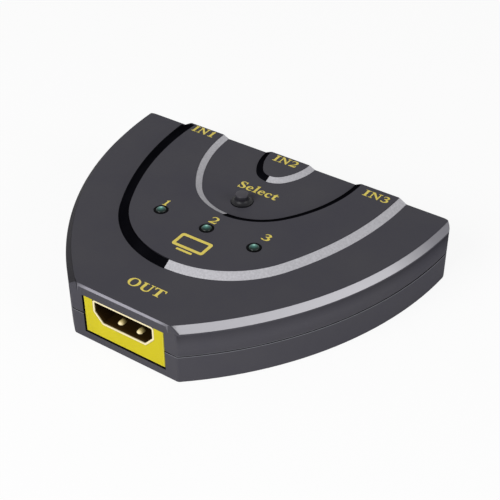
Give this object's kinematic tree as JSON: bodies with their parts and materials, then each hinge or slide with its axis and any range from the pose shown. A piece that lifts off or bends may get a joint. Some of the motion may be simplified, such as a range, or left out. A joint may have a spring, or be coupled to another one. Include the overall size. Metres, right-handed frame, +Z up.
{
  "type": "hdmi switch box",
  "caption": "Fan-shaped HDMI switch box with a terraced dark case, an output socket in a yellow face plate, input sockets at the back, a select button and green lamps.",
  "frame": {"origin": "centre of the case's width and depth, on the base plane", "axes": "+X to the right seen from the output face, +Y from the output face to the input face, +Z up"},
  "size_m": [0.08, 0.059, 0.0158],
  "materials": {
    "case_plastic": "satin dark grey",
    "trim_silver": "satin silver lacquer",
    "trim_black": "gloss black",
    "trim_dark": "satin dark grey",
    "plate_yellow": "gloss yellow",
    "gold_plate": "gold plated",
    "insulator_dark": "matt dark brown",
    "board_green": "solder resist",
    "chip_black": "moulded black",
    "button_plastic": "satin dark grey",
    "switch_steel": "plain sheet",
    "lamp_green": "clear tinted green",
    "screw_steel": "zinc plated"
  },
  "bodies": {
    "case": {"top_cover": "case_plastic", "bottom_cover": "case_plastic", "rim_strip_silver": "trim_silver", "rim_strip_dark": "trim_dark", "outer_arch_strip_silver": "trim_silver", "outer_arch_strip_black": "trim_black", "field_strip_silver": "trim_silver", "field_strip_black": "trim_black", "island_strip_silver": "trim_silver", "island_strip_black": "trim_black", "out_face_plate": "plate_yellow", "out_socket_shell": "gold_plate", "out_socket_insulator": "insulator_dark", "out_socket_contacts": "gold_plate", "in_1_socket_shell": "gold_plate", "in_1_socket_insulator": "insulator_dark", "in_1_socket_contacts": "gold_plate", "in_2_socket_shell": "gold_plate", "in_2_socket_insulator": "insulator_dark", "in_2_socket_contacts": "gold_plate", "in_3_socket_shell": "gold_plate", "in_3_socket_insulator": "insulator_dark", "in_3_socket_contacts": "gold_plate", "circuit_board": "board_green", "switch_chip": "chip_black", "switch_body": "chip_black", "switch_cover": "switch_steel", "switch_dome": "switch_steel", "switch_terminals": "switch_steel", "lamp_1": "lamp_green", "lamp_2": "lamp_green", "lamp_3": "lamp_green", "lamp_bezel_1": "trim_black", "lamp_bezel_2": "trim_black", "lamp_bezel_3": "trim_black", "lamp_legs": "switch_steel", "case_screws": "screw_steel"},
    "button": {"select_button": "button_plastic", "switch_plunger": "chip_black"}
  },
  "joints": [
    {"name": "select_press", "type": "slide", "parent": "case", "child": "button", "axis": [0, 0, -1], "range_m": [0, 0.00025], "stiffness_N_per_m": 6400, "deforming": ["switch_dome"]}
  ]
}
